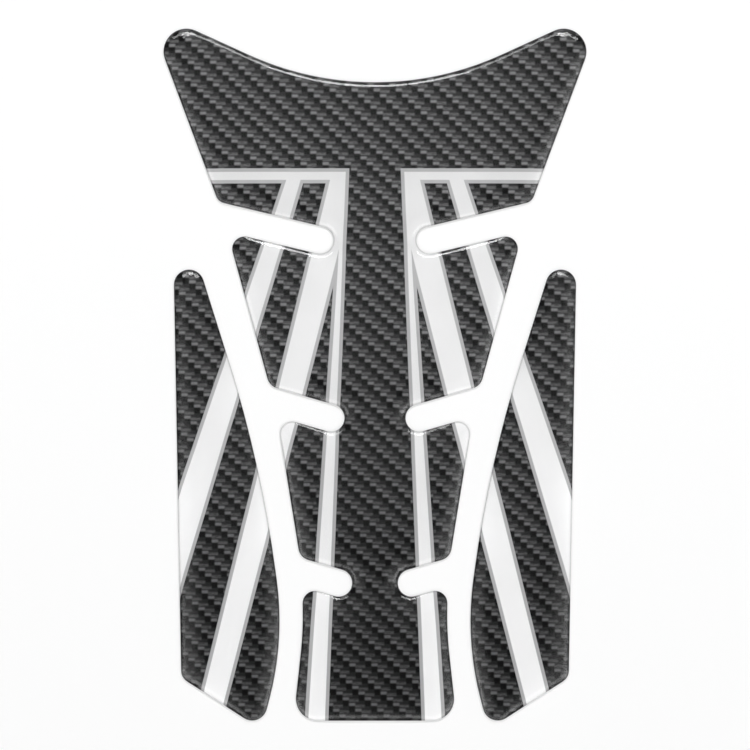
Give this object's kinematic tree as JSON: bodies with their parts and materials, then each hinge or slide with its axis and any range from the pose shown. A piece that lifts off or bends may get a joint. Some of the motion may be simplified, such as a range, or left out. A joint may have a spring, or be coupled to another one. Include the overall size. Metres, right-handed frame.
{
  "type": "motorcycle tank pad",
  "caption": "Domed gel tank pad set for a motorcycle: a horned, slotted centre pad between slim side pads, printed as carbon twill with pale diagonal bars under clear resin.",
  "frame": {"origin": "middle of the whole set's outline, on the flat glued underside of the films", "axes": "+X across the set towards the right side pad, +Y along the centre pad towards its horned end, +Z out of the printed face"},
  "size_m": [0.11, 0.18, 0.002],
  "materials": {
    "print_film": "printed vinyl, dark carbon twill with pale grey-edged bars",
    "clear_resin": "clear, high gloss, cast smooth"
  },
  "bodies": {
    "root": {"centre_print_film": "print_film", "centre_resin_dome": "clear_resin", "left_print_film": "print_film", "left_resin_dome": "clear_resin", "right_print_film": "print_film", "right_resin_dome": "clear_resin"}
  },
  "joints": []
}
